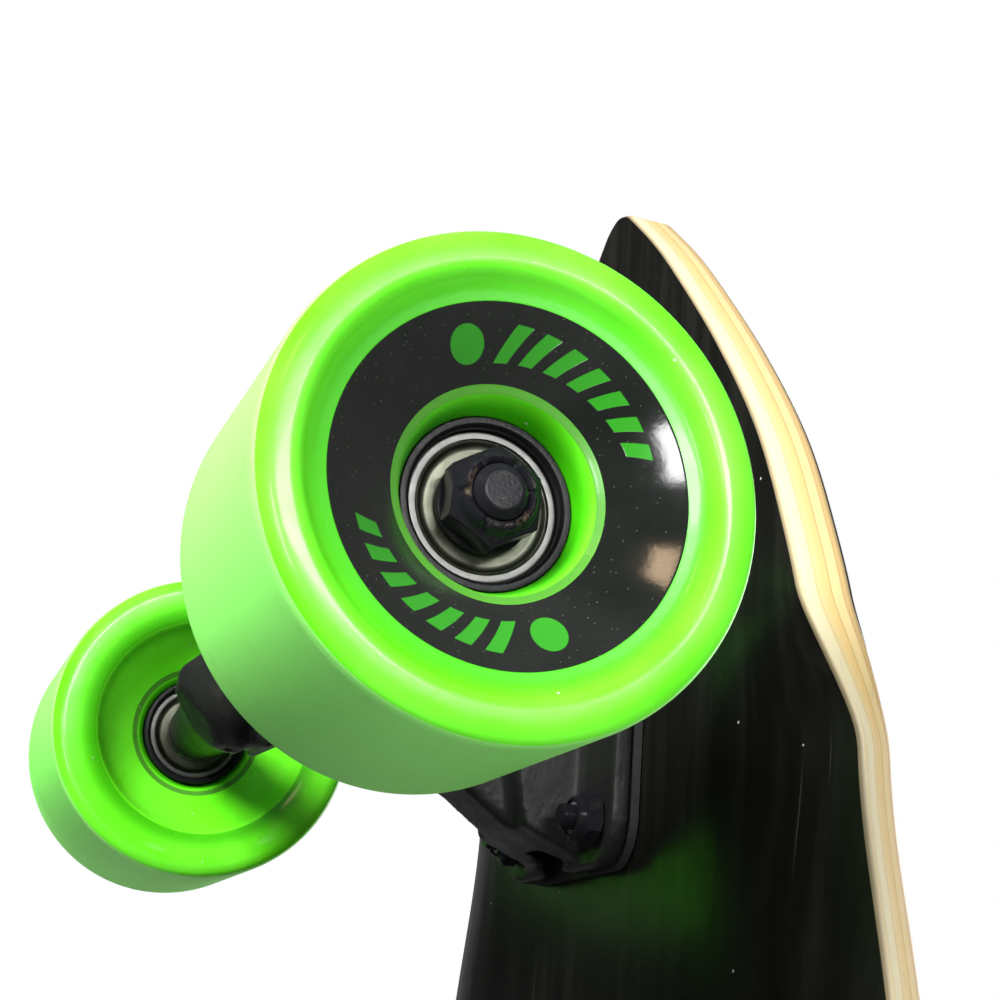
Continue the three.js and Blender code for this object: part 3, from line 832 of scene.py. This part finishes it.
INNER_RING = [
    (4.05, 0.2, 0.1), (4.25, 0, 0.1), (5.9, 0, 0.15), (5.9, 7, 0.15), (4.25, 7, 0.1),
    (4.05, 6.8, 0.1),
]
AXLE_WASHER = [(4.1, 115.05, 0.1), (7.0, 115.05, 0.2), (7.0, 116.0, 0.2), (4.1, 116.0, 0.1)]
SPEED_WASHER = [(4.1, 90.05, 0.1), (6.6, 90.05, 0.2), (6.6, 90.95, 0.2), (4.1, 90.95, 0.1)]


def nut_mesh():
    """A chamfered hexagon with a round collar that is crimped in six places."""
    bottom = 116.1
    top = 120.9
    collar = 123.0

    def crimp(angle, depth):
        away = abs((angle + 0.14) % (math.pi / 3) - math.pi / 6)
        return depth * max(0, 1 - (away / 0.11) ** 2)

    rings = [fixed(4.05, bottom)]
    rings += hex_rings(12.7, bottom, top)
    rings += [
        fixed(6.0, top + 0.1),
        lambda angle: (5.75 - crimp(angle, 0.2), top + 0.45),
        lambda angle: (5.6 - crimp(angle, 0.35), collar - 0.75 - crimp(angle, 0.2)),
        lambda angle: (5.25 - crimp(angle, 0.45), collar - 0.2 - crimp(angle, 0.35)),
        lambda angle: (4.9 - crimp(angle, 0.3), collar - crimp(angle, 0.5)),
        lambda angle: (4.45, collar - 0.15 - crimp(angle, 0.3)),
        fixed(4.1, collar - 0.5),
        fixed(4.05, collar - 1.2),
    ]
    return revolve("axle_nut", rings, True, 144, ["nut_oxide"], sharp=28)


wheel_meshes = {
    "tyre": lathe("tyre", TYRE, 160, ["urethane", "tread", "print"], tyre_slot, sharp=50),
    "core": lathe("core", CORE, 96, ["plastic"]),
    "bearing": lathe("bearing", BEARING, 96, ["ring", "groove", "shield"], bearing_slot, sharp=30),
    "inner_ring": lathe("inner_ring", INNER_RING, 64, ["ring"]),
    "axle_washer": lathe("axle_washer", AXLE_WASHER, 64, ["oxide"]),
    "speed_washer": lathe("speed_washer", SPEED_WASHER, 64, ["zinc"]),
    "axle_nut": nut_mesh(),
}


def along(height):
    return Matrix.Translation((0, height * MM, 0))


def build_corner(end, side):
    prefix = f"{end}_{side}"
    wheel = f"{prefix}_wheel"
    carrier = f"{end}_hanger"
    place = corner_frame(end, side)
    put(f"{prefix}_tyre_cast", wheel_meshes["tyre"], place, wheel,
        "wheel_urethane", f"{prefix}_tyre")
    put(f"{prefix}_core_hub", wheel_meshes["core"], place, wheel, "black_plastic", f"{prefix}_core")
    for where, height in (("inner", INNER_BEARING_Y), ("outer", OUTER_FACE_Y - 7)):
        at = place @ along(height)
        put(f"{prefix}_{where}_bearing_outer_ring", wheel_meshes["bearing"], at, wheel,
            "bearing_steel", f"{prefix}_{where}_bearing")
        put(f"{prefix}_{where}_bearing_inner_ring", wheel_meshes["inner_ring"], at, carrier,
            "bearing_steel")
    put(f"{prefix}_outer_washer", wheel_meshes["axle_washer"], place, carrier,
        "black_steel", f"{prefix}_axle_washer")
    put(f"{prefix}_inner_washer", wheel_meshes["speed_washer"], place, carrier, "zinc_steel")
    put(f"{prefix}_lock_nut", wheel_meshes["axle_nut"], place, carrier,
        "black_steel", f"{prefix}_axle_nut")


# ------------------------------------------------------------------ trucks

STEER_ANGLE = math.radians(50)
STEER = Vector((math.cos(STEER_ANGLE), 0, math.sin(STEER_ANGLE)))
PIN = Vector((math.sin(STEER_ANGLE), 0, -math.cos(STEER_ANGLE)))
PIN_FRAME = Matrix.Translation(STEER * 0.031) @ PIN.to_track_quat("Y", "Z").to_matrix().to_4x4()

AXLE = [
    (0, -123.9), (1.4, -123.9), (2.4, -123.9), (2.9, -123.9, 0.3), (4, -122.8, 0.3),
    (4, 122.8, 0.3), (2.9, 123.9, 0.3), (2.4, 123.9), (1.4, 123.9), (0, 123.9),
]
BOARD_BUSHING = [
    (4.9, -19.25, 0.3), (11.4, -19.25, 0.8), (12.2, -18.2, 1.2), (12.2, -5.8, 1.2),
    (11.4, -4.55, 0.8), (4.9, -4.55, 0.3),
]
ROAD_BUSHING = [
    (4.9, 4.55, 0.3), (11.5, 4.55, 0.8), (12.2, 5.6, 1.0), (12.0, 8.0, 1.5), (9.0, 16.4, 1.0),
    (8.0, 17.6, 0.8), (4.9, 17.6, 0.3),
]
BOARD_WASHER = [
    (4.9, -20.9, 0.1), (11.8, -20.9, 0.8), (13.0, -19.0, 0.5), (12.7, -18.7, 0.1),
    (12.4, -19.0, 0.1), (11.4, -19.4, 0.6), (4.9, -19.4, 0.1),
]
ROAD_WASHER = [
    (4.9, 19.1, 0.1), (9.4, 19.1, 0.8), (10.6, 17.3, 0.5), (10.3, 17.0, 0.1), (10.0, 17.3, 0.1),
    (9.0, 17.7, 0.6), (4.9, 17.7, 0.1),
]


PIN_SHANK = [(0, -31), (4.76, -31), (4.76, 26.9, 0.3), (4.1, 27.5, 0.3), (0, 27.5)]


def pin_head_mesh():
    rings = [fixed(0, -36)] + hex_rings(14, -36, -30) + [fixed(0, -30)]
    return revolve("pin_head", rings, False, 96, ["zinc"], sharp=28)


def lock_nut_mesh(name, steel, across, bottom, top, bore, direction):
    """A hexagon nut whose rolled collar holds a nylon ring; direction +1 puts that at the top."""
    body = bottom + 0.66 * (top - bottom)
    rings = [fixed(bore, bottom)]
    rings += hex_rings(across, bottom, body)
    rings += [
        fixed(0.46 * across, body + 0.1),
        fixed(0.45 * across, top - 0.12 * across),
        fixed(0.42 * across, top - 0.03 * across),
        fixed(0.37 * across, top),
        fixed(0.355 * across, top - 0.05 * across),
        fixed(0.36 * across, top - 0.07 * across),
        fixed(bore, top - 0.08 * across),
    ]

    def slot_of(radius, height):
        return 1 if height > top - 0.09 * across and radius < 0.358 * across else 0

    mesh = revolve(name, rings, True, 96, [steel, "nylon"], slot_of, sharp=28)
    if direction < 0:
        mesh.transform(Matrix.Translation((0, (bottom + top) * MM, 0)) @ TURN_X)
    return mesh


truck_meshes = {
    "axle": lathe("axle", AXLE, 48, ["oxide"], closed=False),
    "board_bushing": lathe("board_bushing", BOARD_BUSHING, 64, ["bushing"]),
    "road_bushing": lathe("road_bushing", ROAD_BUSHING, 64, ["bushing"]),
    "board_washer": lathe("board_washer", BOARD_WASHER, 64, ["zinc"]),
    "road_washer": lathe("road_washer", ROAD_WASHER, 64, ["zinc"]),
    "pin_head": pin_head_mesh(),
    "pin_shank": lathe("pin_shank", PIN_SHANK, 48, ["thread"], closed=False),
    "pin_nut": lock_nut_mesh("pin_nut", "zinc", 14.3, 19.3, 26.2, 4.9, 1),
}


BOLT = [
    (0, -24.8), (2.1, -24.8), (2.4, -24.3, 0.2), (2.4, -3.2, 0.2), (4.7, -0.5, 0.2),
    (4.7, -0.1, 0.1), (4.4, 0.0, 0.1), (0, 0.0),
]


def bolt_mesh():
    """A countersunk bolt with a cross recess, its head at Y = 0 and its shank below."""
    shank = lathe("bolt", BOLT, 48, ["oxide"], closed=False)
    cutters = []
    for turn in (0, math.pi / 2):
        verts = [
            Vector((x, y, z)) * MM
            for y, half in ((-2.0, 1.69), (0.4, 2.6)) for x in (-half, half) for z in (-0.5, 0.5)
        ]
        faces = [(0, 1, 3, 2), (4, 6, 7, 5), (0, 4, 5, 1), (2, 3, 7, 6), (0, 2, 6, 4), (1, 5, 7, 3)]
        tool = finish_mesh("recess", verts, faces, ["oxide"])
        tool.transform(Matrix.Rotation(turn, 4, "Y"))
        cutters.append(tool)
    return shade(cut(shank, cutters), 30)


bolt = bolt_mesh()
bolt_nut = lock_nut_mesh("bolt_nut", "oxide", 9.5, -22.5, -17.5, 2.42, -1)


def bushing_piece(end, kind, mesh, start, finish):
    """Places a bushing on the kingpin, bakes that place into its mesh and hides the CAD bushing
    that it stands for.
    """
    piece = bpy.data.objects.new(f"{end}_{kind}_bushing_ring", mesh.copy())
    bpy.context.scene.collection.objects.link(piece)
    pin = truck_frame(end) @ PIN_FRAME
    piece.matrix_world = pin
    pin @ Vector((0, start * MM, 0))
    pin @ Vector((0, finish * MM, 0))
    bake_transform(piece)
    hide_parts(f"{end}_{kind}_bushing")


def build_truck(end):
    place = truck_frame(end)
    pin = place @ PIN_FRAME
    carrier = f"{end}_hanger"
    put(f"{end}_axle_rod", truck_meshes["axle"], place, carrier, "black_steel", f"{end}_axle")
    for kind, body in (("hanger", carrier), ("baseplate", "board")):
        put(f"{end}_{kind}_casting", cast_mesh(f"{end}_{kind}"), STILL, body,
            "truck_black", f"{end}_{kind}")
    put(f"{end}_kingpin_shank", truck_meshes["pin_shank"], pin, "board",
        "zinc_steel", f"{end}_kingpin")
    put(f"{end}_kingpin_head", truck_meshes["pin_head"], pin, "board", "zinc_steel")
    put(f"{end}_kingpin_lock_nut", truck_meshes["pin_nut"], pin, "board",
        "zinc_steel", f"{end}_kingpin_nut")
    for kind in ("board", "road"):
        put(f"{end}_{kind}_cup_washer", truck_meshes[f"{kind}_washer"], pin, "board",
            "zinc_steel", f"{end}_{kind}_washer")
    bushing_piece(end, "board", truck_meshes["board_bushing"], -19.2, -4.8)
    bushing_piece(end, "road", truck_meshes["road_bushing"], 17.4, 4.8)


for end in ENDS:
    build_truck(end)
    for side in SIDES:
        build_corner(end, side)

for name, middle, top in bolt_points():
    at = Matrix.Translation((middle.x, middle.y, top)) @ UPRIGHT
    put(f"{name}_screw", bolt, at, "board", "black_steel", name)
    put(f"{name}_lock_nut", bolt_nut, at, "board", "black_steel")

KEPT = {"pivot_cup": "rubber", "riser": "rubber", "spacer": "zinc"}
for name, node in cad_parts.items():
    for ending, material in KEPT.items():
        if name.endswith(ending):
            node.data.materials.clear()
            node.data.materials.append(MATERIALS[material])


# ------------------------------------------------------------------ studio

CAMERA_PLACE = Vector((0.3709, 0.3367, -0.0381))
CAMERA_RIGHT = Vector((0.0735, 0.3462, 0.9358)).normalized()
CAMERA_UP = Vector((0.9478, 0.2691, -0.1743)).normalized()
LENS = 64.08
AMBIENT = 0.26


def studio_camera():
    camera = bpy.data.objects.new("camera", bpy.data.cameras.new("camera"))
    bpy.context.scene.collection.objects.link(camera)
    back = CAMERA_RIGHT.cross(CAMERA_UP)
    turn = Matrix((CAMERA_RIGHT, back.cross(CAMERA_RIGHT), back)).transposed().to_4x4()
    camera.matrix_world = Matrix.Translation(CAMERA_PLACE) @ turn
    camera.data.lens = LENS
    camera.data.sensor_width = 36
    camera.data.clip_start = 0.01
    camera.data.clip_end = 200
    bpy.context.scene.camera = camera


def soft_light(name, place, target, size, power, length=None, along=(0, 0, 1)):
    """A soft lamp: a disk, or a strip if it has a length, which then runs along a direction."""
    light = bpy.data.lights.new(name, "AREA")
    light.shape = "RECTANGLE" if length else "DISK"
    light.size = size
    light.energy = power
    lamp = bpy.data.objects.new(name, light)
    bpy.context.scene.collection.objects.link(lamp)
    back = (Vector(place) - Vector(target)).normalized()
    if length:
        light.size_y = length
    side = Vector(along).cross(back).normalized()
    turn = Matrix((side, back.cross(side), back)).transposed().to_4x4()
    lamp.matrix_world = Matrix.Translation(place) @ turn
    lamp.visible_camera = False
    return lamp


def soft_sun(name, origin, strength, angle):
    """Even light from a wide patch of sky in one direction, so that the floor is pale all over."""
    light = bpy.data.lights.new(name, "SUN")
    light.energy = strength
    light.angle = math.radians(angle)
    lamp = bpy.data.objects.new(name, light)
    bpy.context.scene.collection.objects.link(lamp)
    lamp.matrix_world = Vector(origin).to_track_quat("Z", "Y").to_matrix().to_4x4()
    lamp.visible_glossy = False


def studio_floor():
    """A pale floor that is only there from above, so that the board shows from below too."""
    reach = 40
    corners = [(-reach, -reach, 0), (reach, -reach, 0), (reach, reach, 0), (-reach, reach, 0)]
    mesh = bpy.data.meshes.new("floor")
    mesh.from_pydata(corners, [], [(0, 1, 2, 3)])
    look = Look("floor", Roughness=0.9)
    look.colour(look.mix(look.noise(3, 2), (0.78, 0.78, 0.77), (0.80, 0.80, 0.79)))
    back = look.tree.nodes.new("ShaderNodeNewGeometry").outputs["Backfacing"]
    through = look.tree.nodes.new("ShaderNodeBsdfTransparent").outputs[0]
    choose = look.tree.nodes.new("ShaderNodeMixShader")
    look.tree.links.new(back, choose.inputs[0])
    look.tree.links.new(look.shader.outputs[0], choose.inputs[1])
    look.tree.links.new(through, choose.inputs[2])
    look.tree.links.new(choose.outputs[0], look.tree.nodes["Material Output"].inputs["Surface"])
    mesh.materials.append(look.material)
    floor = bpy.data.objects.new("floor", mesh)
    bpy.context.scene.collection.objects.link(floor)
    floor.visible_shadow = False
    floor.visible_glossy = False


def studio_world():
    """White down to just under the horizon and dark below it; it lights the board only gently."""
    world = bpy.data.worlds.new("studio")
    world.use_nodes = True
    bpy.context.scene.world = world
    nodes = world.node_tree.nodes
    links = world.node_tree.links
    direction = nodes.new("ShaderNodeTexCoord").outputs["Generated"]
    split = nodes.new("ShaderNodeSeparateXYZ")
    links.new(direction, split.inputs[0])
    height = nodes.new("ShaderNodeMapRange")
    links.new(split.outputs["Z"], height.inputs["Value"])
    height.inputs["From Min"].default_value = -0.26
    height.inputs["From Max"].default_value = -0.06
    height.inputs["To Min"].default_value = 0.02
    height.inputs["To Max"].default_value = AMBIENT
    seen = nodes.new("ShaderNodeLightPath").outputs["Is Camera Ray"]
    strength = nodes.new("ShaderNodeMath")
    strength.operation = "MAXIMUM"
    links.new(seen, strength.inputs[0])
    links.new(height.outputs[0], strength.inputs[1])
    links.new(strength.outputs[0], nodes["Background"].inputs["Strength"])
    nodes["Background"].inputs["Color"].default_value = (1, 1, 1, 1)


studio_camera()
studio_floor()
studio_world()
wheel_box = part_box("front_left_tyre")
wheel_middle = (wheel_box[0] + wheel_box[1]) / 2
key = soft_light("key_below", (0.96, 0.50, -0.62), wheel_middle, 0.45, 30)
key.visible_glossy = False
soft_light("strip", (0.659, 0.912, 0.103), wheel_middle, 0.1, 4, 0.36, (0.09, -0.04, 0.36))
soft_light("low_window", (0.502, 0.911, -0.26), wheel_middle, 0.085, 1.4, 0.2, (0.936, 0, -0.35))
warm_place = (0.892, 0.783, -0.238)
warm = soft_light("warm_window", warm_place, wheel_middle, 0.09, 0.45, 0.14, (0.95, 0, 0.32))
warm.data.color = (1.0, 0.72, 0.45)
soft_sun("sky_above", (0.2, -0.8, 1.6), 2.9, 45)
soft_light("key_above", (0.5, -0.9, 1.6), (0, 0, 0.05), 1.2, 12)
fill = soft_light("fill_above", (-0.9, 1.1, 1.3), (0, 0, 0.05), 1.0, 14)
fill.visible_glossy = False
bpy.context.scene.view_settings.view_transform = "Standard"
